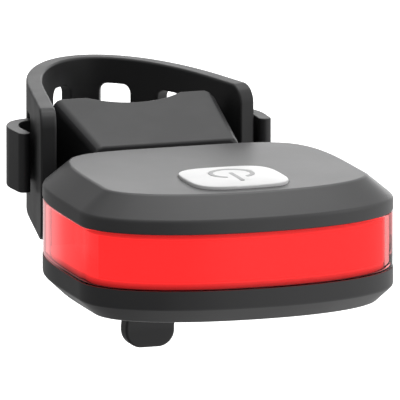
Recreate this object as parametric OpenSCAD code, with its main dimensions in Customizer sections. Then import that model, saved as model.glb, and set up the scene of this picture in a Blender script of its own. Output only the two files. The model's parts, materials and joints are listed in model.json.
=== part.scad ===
// Bicycle rear light on a strap bracket for a seatpost.
// Lengths are in millimetres. The origin lies on the seatpost axis, halfway up the strap.
// The light faces -Y and the seatpost runs along Z.

/* [Light body] */
// Width of the light across its widest line
body_w = 60; // [54:1:68]
// Depth from the widest line to the front
front_d = 17; // [15:0.5:22]
// Depth from the widest line to the back
back_d = 38.4; // [36:0.2:44]
// Fullness of the bowed front, 2 is an ellipse
front_n = 2.2; // [2:0.1:2.8]
// Fullness of the rear corners
back_n = 4.2; // [3.4:0.1:5]
// Height of the slope round the top panel
top_slope_h = 4.1; // [3:0.1:5]
// How far the slope draws the top panel in
top_slope_in = 4.9; // [3:0.1:6]
// Height of the band between the slope and the lens
upper_band_h = 2.6; // [2:0.1:4]
// Height of the lens
lens_h = 10.4; // [9.5:0.1:14]
// Height of the band below the lens
lower_band_h = 3.4; // [2.5:0.1:5]
// Height of the slope round the underside
bottom_slope_h = 3; // [2:0.1:3.6]
// How far the slope draws the underside in
bottom_slope_in = 3.2; // [2:0.1:4]
// Wall of the top panel
panel_t = 1.8; // [1.4:0.1:2.4]
// Thickness of the base floor
floor_t = 2.6; // [2.4:0.1:3]
// Width of the rim that clamps the lens and the light tray
rim_w = 3.2; // [2.6:0.1:4]
// Extra wall where the slopes meet the panel and the floor
slope_wall = 0.6; // [0.4:0.1:1]

/* [Lens and lighting] */
// Wall of the lens
lens_t = 1.5; // [1:0.1:1.7]
// Where the lens ends towards the back, from the widest line
lens_end_y = 29; // [24:0.5:31]
// Thickness of the light bar behind the lens
diffuser_t = 1.6; // [1:0.1:2.2]
// Where the light bar ends, from the widest line
diffuser_end_y = -4; // [-6:0.5:8]
// Depth of the light tray
tray_depth = 5.9; // [5:0.1:6.2]
// Wall of the light tray
tray_wall = 1.2; // [0.8:0.1:1.6]
// Thickness of the LED strip
led_strip_t = 0.8; // [0.4:0.1:1]
// Length of one LED along the strip
led_l = 3.5; // [2:0.1:4]
// How far one LED stands out of the strip
led_t = 0.8; // [0.5:0.1:1.2]
// Height of one LED
led_h = 2.8; // [2:0.1:3.5]
// Number of LEDs
led_count = 9; // [5:2:9]
// Share of the strip that the LEDs take up
led_reach = 0.86; // [0.8:0.02:0.9]

/* [Button and switch] */
// Width of the button
button_w = 18; // [14:0.5:20]
// Depth of the button
button_d = 17.7; // [14:0.1:20]
// Fullness of the button's corners
button_n = 3.6; // [2.6:0.1:5]
// Middle of the button behind the widest line
button_y = 0.5; // [0:0.5:2]
// How far the button's rim stands over the panel
button_rise = 0.6; // [0.5:0.05:1.2]
// Rounding of the button's upper edge
button_edge = 0.35; // [0.2:0.05:0.45]
// Crown of the button over its rim
button_crown = 0.25; // [0.1:0.05:0.5]
// Inset where the crown turns flat
crown_in = 6; // [4:0.5:6.5]
// Flange that keeps the button in, beyond the gap
button_flange = 1.4; // [1:0.1:2]
// Thickness of the flange
button_flange_t = 0.9; // [0.6:0.1:1.2]
// Thickness of the button seal
button_seal_t = 0.6; // [0.4:0.1:0.8]
// Stroke of the button
button_stroke = 0.5; // [0.3:0.05:0.8]
// Diameter of the button's foot on the plunger
button_foot_d = 5.4; // [4.4:0.2:6]
// Height of the button's foot
button_foot_h = 0.7; // [0.5:0.1:1.2]
// Side of the switch body
switch_w = 6; // [5:0.5:7]
// Height of the switch body
switch_h = 3.4; // [3:0.1:3.8]
// Diameter of the switch plunger
plunger_d = 3.4; // [2.6:0.1:4]
// Length of the plunger inside the switch
plunger_in = 1.2; // [1:0.1:1.6]
// How far the pressed plunger stays over the switch
plunger_proud = 0.4; // [0.2:0.1:0.6]
// Outer radius of the power sign's ring
sign_r = 4.2; // [3:0.1:5]
// Line width of the power sign
sign_w = 0.6; // [0.4:0.1:1]
// Opening of the ring, in degrees
sign_gap = 56; // [40:2:80]
// Middle of the ring behind the button's middle
sign_y = 1.2; // [0:0.1:2]
// Length of the sign's bar
sign_bar_l = 7.2; // [5:0.1:8]
// How far the bar reaches ahead of the ring's middle
sign_bar_reach = 6.7; // [4:0.1:7]
// Depth of the sign in the button
sign_t = 0.3; // [0.2:0.05:0.5]

/* [Boards and battery] */
// Thickness of the boards
board_t = 1.2; // [0.8:0.1:1.6]
// Thickness of the battery
battery_t = 8; // [5:0.5:8.5]
// Thickness of the foam pad under the battery
pad_t = 1; // [0.5:0.1:1.5]

/* [Case fasteners] */
// Diameter of the screw posts
post_boss_d = 6.2; // [5.8:0.1:6.4]
// Diameter of the bosses in the top cover
cover_boss_d = 5.4; // [4.6:0.1:5.8]
// Place of the front posts round the outline, in degrees from the widest line
front_post_turn = 6; // [2:1:10]
// Place of the rear posts round the outline, in degrees from the widest line
rear_post_turn = 40; // [36:1:43]
// Diameter of the case screws
screw_d = 2; // [1.8:0.1:2.4]
// Diameter of their heads
screw_head_d = 4; // [3.6:0.1:4.2]
// Height of their heads
screw_head_h = 1.6; // [1.2:0.1:2]
// Length of the cross recess in a screw head
drive_l = 2.2; // [1.8:0.1:2.4]
// Width of the cross recess
drive_w = 0.6; // [0.4:0.05:0.8]
// Depth of the cross recess
drive_t = 0.6; // [0.4:0.05:0.65]
// Depth of a screw seat above the underside
screw_seat = 4; // [3.4:0.1:5]
// Depth that a case screw goes into its boss
screw_bite = 4.6; // [3.5:0.1:5]
// Width of the case seal
seal_w = 1; // [0.6:0.1:1.2]
// Height of the case seal
seal_h = 0.8; // [0.5:0.1:1]
// Inset of the case seal from the outline
seal_in = 1.1; // [0.9:0.1:1.4]

/* [Charging socket] */
// Middle of the socket ahead of the light's back
socket_set = 11.8; // [11.4:0.2:13]
// Width of the socket shell
socket_w = 8.9; // [8.5:0.1:9.2]
// Thickness of the socket shell
socket_t = 3.3; // [3:0.1:3.6]
// Length of the socket shell
socket_l = 7.3; // [6:0.1:8]
// Sheet of the socket shell
socket_sheet = 0.3; // [0.2:0.05:0.4]
// Width of the contact tongue
contact_w = 6.7; // [6:0.1:7]
// Thickness of the contact tongue
contact_t = 0.7; // [0.5:0.1:0.9]
// How far the contact tongue sits behind the mouth
contact_back = 1.6; // [1.2:0.1:2.2]
// How far the socket cover reaches beyond the socket, sideways
cover_over_w = 2.6; // [2:0.1:3.5]
// How far the socket cover reaches beyond the socket, to the front and the back
cover_over_l = 2.2; // [2:0.1:2.6]
// Thickness of the socket cover
cover_t = 1.6; // [1.4:0.1:1.8]
// Height of the plug on the cover
plug_h = 0.8; // [0.5:0.1:1]
// Diameter of the cover's hinge pins
cover_pin_d = 0.8; // [0.6:0.05:0.9]
// Length of a hinge pin beyond the cover
cover_pin_l = 1; // [0.7:0.1:1.4]
// Width of the charging board
charge_board_w = 14; // [12:0.5:16]
// Height of the charging board
charge_board_h = 8.5; // [7.5:0.1:10]

/* [Rail] */
// Gap between the light and the bracket
light_gap = 0.8; // [0.6:0.1:1.5]
// Depth of the flat that seats the rail
rail_seat = 0.3; // [0.2:0.05:0.5]
// Width of the rail's neck
rail_neck_w = 10; // [9:0.5:11]
// Width of the rail's head
rail_head_w = 16; // [14.5:0.5:17]
// Thickness of the rail's head
rail_head_t = 1.8; // [1.6:0.1:2.2]
// Length of the rail
rail_h = 12.5; // [12:0.5:13]
// Top of the rail below the lens's upper edge
rail_set = 0.3; // [0.2:0.1:0.7]
// Distance between the two rail screws
rail_screw_pitch = 6.4; // [6:0.2:7]
// Diameter of the rail screws' heads
rail_screw_head_d = 3.8; // [3.4:0.1:4.2]
// Length of a rail screw inside the light
rail_screw_bite = 5.4; // [4.6:0.2:6]
// Bosses behind the rail inside the light
rail_boss_d = 5; // [4.4:0.1:5.4]
// Height of the panel over the middle of the strap
panel_rise = 5.65; // [5:0.05:6.5]

/* [Bracket] */
// Diameter of the seatpost that the origin stands for
post_d = 27.2; // [25:0.2:32]
// Radius of the hollow that meets the seatpost
cradle_r = 15.3; // [14.5:0.1:17]
// Width of the hollow
cradle_w = 18.2; // [17:0.2:20]
// Depth of the block, from the light to its shoulders
block_d = 20.4; // [19.5:0.1:23]
// Width of the block at the light
block_front_w = 28.4; // [25:0.2:29]
// Width of the block at its shoulders
block_back_w = 31.8; // [29:0.2:32.4]
// Top of the block at the light, over the strap's middle
block_front_top = 5.3; // [5:0.1:6.5]
// Top of the block at its shoulders, over the strap's middle
block_back_top = 10.7; // [9:0.1:12]
// Underside of the block below the strap's middle
block_drop = 17.5; // [17:0.1:19]
// Lip that holds the rail's head
lip_t = 1.8; // [1.5:0.1:2.2]
// Thickness of the cradle pad
cradle_pad_t = 1.2; // [0.8:0.1:1.6]
// Width of the cradle pad
cradle_pad_w = 15; // [12:0.5:16]
// Height of the cradle pad
cradle_pad_h = 16; // [12:0.5:18]
// Thickness of a hook
hook_t = 2.4; // [1.6:0.1:2.6]
// Middle of a hook over the strap's middle
hook_rise = 0.5; // [0:0.1:0.7]
// How deep a hook's root sits in the block
hook_root = 1; // [0.6:0.1:1.5]
// How far a hook leans out on its way to the slot
hook_lean = 1.2; // [0.8:0.1:2]
// Sideways length of a hook's outer bend
hook_bend_w = 3.1; // [2.5:0.1:3.6]
// Forward length of a hook's outer bend
hook_bend_l = 5.3; // [4:0.1:6.5]
// Length of a hook's finger
hook_finger = 12.4; // [10:0.1:14]
// How far a hook's tip turns in
hook_tip_in = 0.4; // [0:0.1:0.5]

/* [Release lever] */
// Width of the lever
lever_w = 9.6; // [8:0.1:9.8]
// Thickness of the lever
lever_t = 3.6; // [3:0.1:3.8]
// Gap from the rail to the lever
lever_gap = 1.35; // [1.2:0.05:1.6]
// Pivot of the lever over the strap's middle
pivot_rise = 3; // [2.6:0.1:3.2]
// Tip of the lever below the strap's middle
lever_drop = 35.4; // [32:0.1:38]
// How far the lever's tip sits behind its pivot
lever_set = 4.9; // [3:0.1:5.4]
// Height of the catch
catch_h = 2.2; // [1.6:0.1:2.4]
// How far the catch reaches under the rail
catch_bite = 1; // [0.8:0.05:1.2]
// Straight run of the lever below the catch
knee_drop = 2; // [1:0.1:3]
// Height of the thumb tab
tab_h = 4; // [3.5:0.1:12]
// Radius of the tab's lower corners
tab_corner_r = 3.2; // [0.5:0.1:4]
// Diameter of the lever pin
pin_d = 2; // [1.6:0.1:2.4]
// Length of the lever pin
pin_l = 18; // [14:0.5:22]
// Clear depth behind the lever at the spring
spring_l = 4.6; // [4.4:0.1:5]
// Outer diameter of the spring
spring_d = 4.4; // [3.6:0.1:5]
// Wire of the spring
spring_wire = 0.5; // [0.4:0.05:0.55]
// Turns of the spring
spring_turns = 4; // [3:1:4]
// Middle of the spring below the pivot
spring_drop = 9; // [7:0.5:10]

/* [Strap] */
// Half width of the strap's loop, outside
strap_a = 22; // [21:0.2:23]
// Length of the loop's half ellipse, outside
strap_b = 56.5; // [52:0.5:60]
// Apex of the loop behind the seatpost axis
strap_apex = 21.8; // [19:0.2:23]
// Thickness of the strap
strap_t = 3; // [2.2:0.1:3.2]
// Height of the strap
strap_h = 24.8; // [22:0.2:27]
// Number of slots
slot_count = 6; // [4:2:6]
// Length of a slot along the strap
slot_l = 6.8; // [5.2:0.1:7.2]
// Height of a slot
slot_h = 14.8; // [12:0.1:16]
// Corner radius of a slot
slot_r = 1.7; // [0.5:0.1:2]
// Distance from slot to slot along the strap
slot_pitch = 13.8; // [12.5:0.1:14.4]
// Strap left beyond the hook's slot at the left end
tail_left = 23.5; // [10:0.5:24]
// Strap left beyond the hook's slot at the right end
tail_right = 11.1; // [6:0.1:16]
// Corner radius of the strap's ends
tail_corner_r = 3.4; // [0.8:0.1:5]

/* [Clearances] */
// Set-back of the lens from the outline
lens_set = 0.1; // [0.05:0.05:0.2]
// Space between the lens and the light tray
lens_gap = 0.3; // [0.2:0.05:0.5]
// Space between the light tray and the screw posts
post_clear = 0.5; // [0.4:0.1:0.8]
// Space round boards
board_play = 0.4; // [0.3:0.05:0.6]
// Space round the battery
battery_play = 1; // [0.6:0.1:2]
// Space between the light tray and the battery's front
battery_nose = 2.2; // [2:0.1:4]
// Gap round the button
button_gap = 0.35; // [0.3:0.05:0.6]
// Room under the pressed plunger
plunger_room = 0.4; // [0.2:0.1:0.6]
// Space round the plug in the socket's mouth
plug_play = 0.65; // [0.5:0.05:0.8]
// Gap round the socket cover
cover_gap = 0.25; // [0.2:0.05:0.4]
// Gap ahead of the socket cover, where it swings
cover_swing_gap = 0.65; // [0.6:0.05:0.9]
// Play of the rail in its channel, on each side
rail_play = 0.15; // [0.1:0.05:0.25]
// Play of a screw in its hole, on the diameter
screw_play = 0.4; // [0.2:0.05:0.6]
// Play of a screw in its pilot hole, on the diameter
pilot_play = 0.1; // [0.06:0.02:0.2]
// Radial play of the running pins
run_play = 0.05; // [0.03:0.01:0.09]
// Space round the lever in its bay
lever_play = 0.3; // [0.2:0.05:0.5]
// Space between a hook and the end of its slot
hook_play = 0.3; // [0.2:0.05:0.5]
// Space between a hook's finger and the strap's widest line
hook_space = 0.7; // [0.6:0.1:2]
// Space above and below a hook in its slot
hook_edge = 1.8; // [1:0.1:2.2]
// Space between pieces that are laid in place
lay_play = 0.05; // [0.02:0.01:0.1]

/* [Hidden] */
$fn = 48;
cut = 0.2;
far = 100;
plan_steps = 96;
plan_probe = 1;
strap_steps = 60;
crown_steps = 3;
coil_steps = 12;
wire_sides = 6;
corner_share = 0.25;
corner_rounds = 3;

// Levels of the light, counted down from the top panel
lens_top = -(top_slope_h + upper_band_h);
lens_bottom = lens_top - lens_h;
lower_band_bottom = lens_bottom - lower_band_h;
body_bottom = lower_band_bottom - bottom_slope_h;
floor_top = body_bottom + floor_t;

// Button, switch and main board, stacked down from the panel
button_flange_top = -panel_t - button_seal_t;
button_bottom = button_flange_top - button_flange_t;
plunger_top = button_bottom - button_foot_h;
plunger_h = plunger_in + plunger_proud + button_stroke;
board_top = plunger_top - button_stroke - plunger_proud - switch_h;
board_bottom = board_top - board_t;
sign_top = button_rise + button_crown;

// Insets of the lighting from the light's outline
lens_in = lens_set + lens_t;
tray_in = lens_in + lens_gap;
tray_back_in = tray_in + tray_depth;
led_strip_in = tray_back_in - tray_wall - led_strip_t;
board_in = tray_back_in + board_play;

// Screw posts, just inside the light tray, and the battery between them
post_in = tray_back_in + post_clear + post_boss_d / 2;
front_post = plan_inset(front_post_turn, post_in);
rear_post = plan_inset(rear_post_turn, post_in);
battery_w = 2 * (front_post[0] - post_boss_d / 2 - battery_play);
battery_y = tray_back_in + battery_nose - front_d;
battery_l = rear_post[1] - post_boss_d / 2 - battery_play - battery_y;

// Places behind the light, from the seatpost forwards
cradle_sag = cradle_r - sqrt(cradle_r * cradle_r - cradle_w * cradle_w / 4);
dip_y = -post_d / 2;
cradle_y = dip_y + cradle_r;
block_back_y = dip_y + cradle_sag;
block_front_y = block_back_y - block_d;
light_y = block_front_y - light_gap - back_d;
rail_head_y = block_front_y + lip_t + rail_play;
rail_back_y = rail_head_y + rail_head_t;
rail_top_z = panel_rise + lens_top - rail_set;
rail_bottom_z = rail_top_z - rail_h;
lever_front_y = rail_back_y + lever_gap;
pivot_y = lever_front_y + lever_t / 2;
pivot_eye_r = lever_t / 2;
lever_bay_back = lever_front_y + lever_t + spring_l;
catch_top_z = rail_bottom_z - lay_play;

// Screws of the case and the rail
case_seat_z = body_bottom + screw_seat;
case_screw_l = board_top + screw_bite - case_seat_z;
rail_screw_z = rail_top_z - rail_h / 2 - panel_rise;
rail_seat_y = back_d - rail_seat;
rail_neck_d = rail_back_y - light_y - rail_seat_y;

// The socket cover lies in a recess of the underside and turns about its round front edge
socket_y = back_d - socket_set;
cover_w = socket_w + 2 * cover_over_w;
cover_l = socket_t + 2 * cover_over_l;
cover_front_y = socket_y - cover_l / 2;
cover_hinge_y = cover_front_y + cover_t / 2;
cover_hinge_z = body_bottom + cover_t / 2;
recess_top = body_bottom + cover_t + cover_gap;

// Middle line of the strap, and the hooks that hold its last slots
strap_y = strap_apex - strap_b;
mid_a = strap_a - strap_t / 2;
mid_b = strap_b - strap_t / 2;
hook_arc = (slot_count - 1) / 2 * slot_pitch;
hook_h = slot_h - 2 * hook_edge;
hook_reach = strap_a + hook_space + hook_t / 2;

// Outline of the light: a bowed front and a squarer back that meet on the widest line
function plan_point(a) =
    let (c = cos(a), s = sin(a), n = s < 0 ? front_n : back_n, d = s < 0 ? front_d : back_d,
         r = pow(pow(abs(c), n) + pow(abs(s), n), -1 / n))
    [body_w / 2 * r * c, d * r * s];
function plan_tangent(a) = plan_point(a + plan_probe) - plan_point(a - plan_probe);
function plan_inset(a, inset) =
    let (t = plan_tangent(a))
    plan_point(a) + inset * [-t[1], t[0]] / norm(t);
function plan_ring(inset) =
    [for (k = [0 : plan_steps - 1]) plan_inset(k * 360 / plan_steps, inset)];

// Length along the right half of the front against the angle from its middle
function led_table(inset) = [for (k = 0, s = 0; k <= plan_steps / 4;
    s = s + norm(plan_inset(270 + (k + 1) * 360 / plan_steps, inset)
                 - plan_inset(270 + k * 360 / plan_steps, inset)),
    k = k + 1) [s, k * 360 / plan_steps]];
function strip_length(table, inset) = max([for (row = table)
    if (plan_inset(270 + row[1], inset)[1] < diffuser_end_y) row[0]]);

// Outline of the button: a square with bulged sides
function button_ring(inset) =
    [for (k = [0 : plan_steps - 1])
        let (c = cos(k * 360 / plan_steps), s = sin(k * 360 / plan_steps),
             r = pow(pow(abs(c), button_n) + pow(abs(s), button_n), -1 / button_n))
        [(button_w / 2 - inset) * r * c, button_y + (button_d / 2 - inset) * r * s]];

// The strap is half an ellipse up to the hooks' slots, then runs on straight.
// Places along it are lengths from the apex, and out is the distance from its middle line.
function loop_point(t) = [mid_a * sin(t), strap_y + mid_b * cos(t)];
loop_table = [for (k = 0, s = 0; k <= strap_steps;
    s = s + norm(loop_point((k + 1) * 90 / strap_steps) - loop_point(k * 90 / strap_steps)),
    k = k + 1) [s, k * 90 / strap_steps]];
function loop_angle(arc) = sign(arc) * lookup(min(abs(arc), hook_arc), loop_table);
function strap_turn(arc) =
    let (t = loop_angle(arc)) atan2(-mid_b * sin(t), mid_a * cos(t));
function strap_point(arc, out) =
    let (turn = strap_turn(arc), tail = arc - sign(arc) * min(abs(arc), hook_arc))
    loop_point(loop_angle(arc)) + tail * [cos(turn), sin(turn)] + out * [-sin(turn), cos(turn)];

// Rounds the corners of an open path by cutting them off again and again
function round_path(p, times) = times == 0 ? p : round_path(concat([p[0]],
    [for (k = [0 : len(p) - 2]) let (step = corner_share * (p[k + 1] - p[k]))
        each [p[k] + step, p[k + 1] - step]],
    [p[len(p) - 1]]), times - 1);
function path_normal(p, k) =
    let (t = p[min(k + 1, len(p) - 1)] - p[max(k - 1, 0)]) [-t[1], t[0]] / norm(t);

// Closed solid through rings of equally many points, from the lowest level to the highest
module skin(levels) {
    n = len(levels[0][1]);
    last = len(levels) - 1;
    points = [for (level = levels) for (p = level[1]) [p[0], p[1], level[0]]];
    sides = [for (i = [0 : last - 1]) for (k = [0 : n - 1])
        let (a = i * n + k, b = i * n + (k + 1) % n)
        each [[a, a + n, b + n], [a, b + n, b]]];
    caps = [[for (k = [0 : n - 1]) k], [for (k = [n - 1 : -1 : 0]) last * n + k]];
    polyhedron(points, concat(caps, sides));
}

module in_light() {
    translate([0, light_y, panel_rise]) children();
}

// Wall between two insets of the light's outline
module plan_band(outer, inner) {
    difference() {
        polygon(plan_ring(outer));
        polygon(plan_ring(inner));
    }
}

// The part of a flat shape in front of a line, or behind it
module ahead_of(y) {
    intersection() {
        children();
        translate([-far, y - 2 * far]) square(2 * far);
    }
}

module behind(y) {
    intersection() {
        children();
        translate([-far, y]) square(2 * far);
    }
}

module at_posts() {
    for (side = [-1, 1], post = [front_post, rear_post])
        translate([side * post[0], post[1], 0]) children();
}

module at_rail_screws() {
    for (side = [-1, 1])
        translate([0, 0, rail_screw_z + side * rail_screw_pitch / 2]) rotate([-90, 0, 0]) children();
}

// Flat shape with round corners
module rounded(w, h, r) {
    square([w - 2 * r, h], center = true);
    square([w, h - 2 * r], center = true);
    for (x = [-1, 1], y = [-1, 1])
        translate([x * (w / 2 - r), y * (h / 2 - r)]) circle(r);
}

// Profile in the YZ plane, extruded evenly to both sides
module side_profile(points, w) {
    rotate([90, 0, 90]) linear_extrude(w, center = true) polygon(points);
}

// Rod along X through a point of the YZ plane
module cross_rod(y, z, r, l) {
    translate([0, y, z]) rotate([0, 90, 0]) cylinder(r = r, h = l, center = true);
}

// Upper shell with the button's opening, the screw bosses and the groove of the seal
module top_cover() color("dimgray") in_light() {
    difference() {
        union() {
            difference() {
                skin([[lens_top, plan_ring(0)], [-top_slope_h, plan_ring(0)],
                      [0, plan_ring(top_slope_in)]]);
                skin([[lens_top - cut, plan_ring(rim_w)], [-top_slope_h, plan_ring(rim_w)],
                      [-panel_t, plan_ring(top_slope_in + slope_wall)]]);
            }
            at_posts() translate([0, 0, board_top])
                cylinder(d = cover_boss_d, h = -panel_t - board_top + cut);
        }
        translate([0, 0, -panel_t - cut]) linear_extrude(panel_t + 2 * cut)
            polygon(button_ring(-button_gap));
        at_posts() translate([0, 0, board_top - cut])
            cylinder(d = screw_d + pilot_play, h = screw_bite + 2 * cut);
        translate([0, 0, lens_top - cut]) linear_extrude(seal_h + cut)
            plan_band(seal_in, seal_in + seal_w);
    }
}

// Lower shell with the rear wall, the screw posts and the recess of the socket cover
module base_housing() color([0.2, 0.2, 0.21]) in_light() {
    difference() {
        union() {
            difference() {
                skin([[body_bottom, plan_ring(bottom_slope_in)], [lower_band_bottom, plan_ring(0)],
                      [lens_bottom, plan_ring(0)]]);
                skin([[floor_top, plan_ring(rim_w + slope_wall)],
                      [lower_band_bottom, plan_ring(rim_w)], [lens_bottom + cut, plan_ring(rim_w)]]);
            }
            translate([0, 0, lens_bottom - cut]) linear_extrude(lens_h + cut)
                behind(lens_end_y + lay_play) plan_band(0, rim_w);
            at_posts() translate([0, 0, floor_top - cut])
                cylinder(d = post_boss_d, h = board_bottom - floor_top + cut);
            translate([0, back_d - rim_w + cut, 0]) at_rail_screws() mirror([0, 0, 1])
                cylinder(d = rail_boss_d, h = rail_screw_bite - rim_w + 2 * cut);
        }
        at_posts() translate([0, 0, body_bottom - cut]) {
            cylinder(d = screw_head_d + screw_play, h = screw_seat + cut);
            cylinder(d = screw_d + screw_play, h = far);
        }
        translate([-rail_head_w / 2, rail_seat_y, rail_bottom_z - panel_rise - cut])
            cube([rail_head_w, rail_seat + cut, rail_h + 2 * cut]);
        translate([0, rail_seat_y + cut, 0]) at_rail_screws() mirror([0, 0, 1])
            cylinder(d = screw_d + pilot_play, h = rail_screw_bite + cut);
        cover_recess();
        translate([0, socket_y, body_bottom]) linear_extrude(far)
            socket_outline(lay_play);
    }
}

// Recess of the socket cover, with the holes of its hinge pins
module cover_recess() {
    hole_l = cover_w + 2 * (cover_pin_l + cover_gap);
    translate([-cover_w / 2 - cover_gap, cover_front_y - cover_swing_gap, body_bottom - cut])
        cube([cover_w + 2 * cover_gap, cover_l + cover_swing_gap + cover_gap,
              recess_top - body_bottom + cut]);
    cross_rod(cover_hinge_y, cover_hinge_z, cover_pin_d / 2 + run_play, hole_l);
}

// Clear red band round the front and the sides
module lens() color([0.9, 0.1, 0.1, 0.7]) in_light() {
    translate([0, 0, lens_bottom]) linear_extrude(lens_h)
        ahead_of(lens_end_y) plan_band(lens_set, lens_in);
}

// Light bar that spreads the LEDs' light over the front
module diffuser() color([1, 0.35, 0.32]) in_light() {
    translate([0, 0, lens_bottom + tray_wall]) linear_extrude(lens_h - 2 * tray_wall)
        ahead_of(diffuser_end_y) plan_band(tray_in, tray_in + diffuser_t);
}

// Pale channel with closed ends, open to the lens, that holds the light bar and the LED strip
module light_tray() color([0.93, 0.88, 0.87]) in_light() {
    for (z = [lens_bottom, lens_top - tray_wall])
        translate([0, 0, z]) linear_extrude(tray_wall)
            ahead_of(lens_end_y) plan_band(tray_in, tray_back_in - tray_wall / 2);
    translate([0, 0, lens_bottom]) linear_extrude(lens_h) {
        ahead_of(lens_end_y) plan_band(tray_back_in - tray_wall, tray_back_in);
        behind(lens_end_y - tray_wall) ahead_of(lens_end_y) plan_band(tray_in, tray_back_in);
    }
}

// Bent strip along the tray's back wall
module led_strip() color("ivory") in_light() {
    translate([0, 0, lens_bottom + tray_wall]) linear_extrude(lens_h - 2 * tray_wall)
        ahead_of(diffuser_end_y) plan_band(led_strip_in, led_strip_in + led_strip_t);
}

// LEDs, spread evenly along the strip's front face and turned square to it
module led_chips() color([1, 0.85, 0.4]) in_light() {
    face_in = led_strip_in - lay_play;
    table = led_table(face_in);
    reach = led_reach * strip_length(table, face_in);
    for (k = [0 : led_count - 1]) {
        place = 2 * k / (led_count - 1) - 1;
        a = 270 + sign(place) * lookup(abs(place) * reach, table);
        p = plan_inset(a, face_in);
        t = plan_tangent(a);
        translate([p[0], p[1], lens_bottom + lens_h / 2]) rotate([0, 0, atan2(t[1], t[0])])
            translate([-led_l / 2, -led_t, -led_h / 2]) cube([led_l, led_t, led_h]);
    }
}

// Main board, clamped between the posts of the base and the bosses of the top cover
module main_board() color("darkgreen") in_light() {
    translate([0, 0, board_bottom]) linear_extrude(board_t) difference() {
        polygon(plan_ring(board_in));
        at_posts() circle(d = screw_d + screw_play);
    }
}

module tact_switch() color([0.15, 0.15, 0.15]) in_light() {
    bore_z = plunger_top - plunger_h - button_stroke - plunger_room;
    difference() {
        translate([0, button_y, board_top]) linear_extrude(switch_h) square(switch_w, center = true);
        translate([0, button_y, bore_z]) cylinder(r = plunger_d / 2 + run_play, h = switch_h);
    }
}

module switch_plunger() color("whitesmoke") in_light() {
    translate([0, button_y, plunger_top - plunger_h]) cylinder(d = plunger_d, h = plunger_h);
}

// White key with a rounded edge and a crown, a flange below the panel and a foot on the plunger
module power_button() color("white") in_light() {
    edge = [for (a = [0 : 45 : 90])
        [button_rise - button_edge * (1 - sin(a)), button_ring(button_edge * (1 - cos(a)))]];
    crown = [for (k = [1 : crown_steps]) let (s = k / crown_steps)
        [button_rise + button_crown * (1 - pow(1 - s, 2)),
         button_ring(button_edge + s * (crown_in - button_edge))]];
    difference() {
        skin(concat([[button_flange_top - cut, button_ring(0)]], edge, crown));
        translate([0, 0, sign_top - sign_t]) linear_extrude(sign_t + cut) sign_shape(lay_play);
    }
    translate([0, 0, button_bottom]) linear_extrude(button_flange_t)
        polygon(button_ring(-button_gap - button_flange));
    translate([0, button_y, plunger_top])
        cylinder(d = button_foot_d, h = button_foot_h + cut);
}

// Flat power sign, an open ring with a bar towards the front, grown by a play
module sign_shape(play) {
    half = sign_gap / 2;
    reach = 2 * sign_r;
    translate([0, button_y + sign_y]) {
        difference() {
            circle(sign_r + play);
            circle(sign_r - sign_w - play);
            translate([0, -play / sin(half)])
                polygon([[0, 0], [-reach * sin(half), -reach * cos(half)],
                         [reach * sin(half), -reach * cos(half)]]);
        }
        translate([-sign_w / 2 - play, -sign_bar_reach - play])
            square([sign_w + 2 * play, sign_bar_l + 2 * play]);
    }
}

// Grey inlay in the button's top
module power_sign() color("silver") in_light() {
    translate([0, 0, sign_top - sign_t]) linear_extrude(sign_t) sign_shape(0);
}

module button_seal() color([0.1, 0.1, 0.1]) in_light() {
    translate([0, 0, -panel_t - button_seal_t]) linear_extrude(button_seal_t) difference() {
        polygon(button_ring(-button_gap - button_flange));
        polygon(button_ring(-button_gap));
    }
}

module case_seal() color([0.1, 0.1, 0.1]) in_light() {
    translate([0, 0, lens_top]) linear_extrude(seal_h)
        plan_band(seal_in + lay_play, seal_in + seal_w - lay_play);
}

// Pouch cell with round long edges
module battery_cell() color("silver") in_light() {
    flat_w = battery_w - battery_t;
    translate([0, battery_y, floor_top + pad_t + battery_t / 2]) rotate([-90, 0, 0])
        linear_extrude(battery_l) {
            square([flat_w, battery_t], center = true);
            for (side = [-1, 1]) translate([side * flat_w / 2, 0]) circle(d = battery_t);
        }
}

module battery_pad() color([0.25, 0.25, 0.27]) in_light() {
    w = battery_w - battery_t;
    translate([-w / 2, battery_y, floor_top]) cube([w, battery_l, pad_t]);
}

// Upright board that carries the socket
module charging_board() color("darkgreen") in_light() {
    translate([-charge_board_w / 2, socket_y + socket_t / 2, floor_top])
        cube([charge_board_w, board_t, charge_board_h]);
}

// Outline of the socket shell, grown by a play
module socket_outline(play) {
    rounded(socket_w + 2 * play, socket_t + 2 * play, socket_t / 2 + play - cut);
}

// Metal shell that opens downwards, with the contact tongue inside
module usb_socket() color("silver") in_light() {
    translate([0, socket_y, recess_top]) {
        difference() {
            linear_extrude(socket_l) socket_outline(0);
            translate([0, 0, -cut]) linear_extrude(socket_l - socket_sheet + cut)
                socket_outline(-socket_sheet);
        }
        translate([0, 0, contact_back]) linear_extrude(socket_l - contact_back - socket_sheet / 2)
            square([contact_w, contact_t], center = true);
    }
}

// Flap flush with the underside, with a round hinge edge, two pins and a plug for the socket
module socket_cover() color([0.12, 0.12, 0.12]) in_light() {
    plug_w = socket_w - 2 * (socket_sheet + plug_play);
    plug_t = socket_t - 2 * (socket_sheet + plug_play);
    translate([-cover_w / 2, cover_hinge_y, body_bottom]) cube([cover_w, cover_l - cover_t / 2, cover_t]);
    cross_rod(cover_hinge_y, cover_hinge_z, cover_t / 2, cover_w);
    cross_rod(cover_hinge_y, cover_hinge_z, cover_pin_d / 2, cover_w + 2 * cover_pin_l);
    translate([0, socket_y, body_bottom + cover_t - cut]) linear_extrude(plug_h + cut)
        square([plug_w, plug_t], center = true);
}

// Cross that is cut into a screw head from the level of the origin upwards
module cross_recess() {
    for (turn = [0, 90]) rotate([0, 0, turn])
        translate([-drive_l / 2, -drive_w / 2, -cut]) cube([drive_l, drive_w, drive_t + cut]);
}

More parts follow.
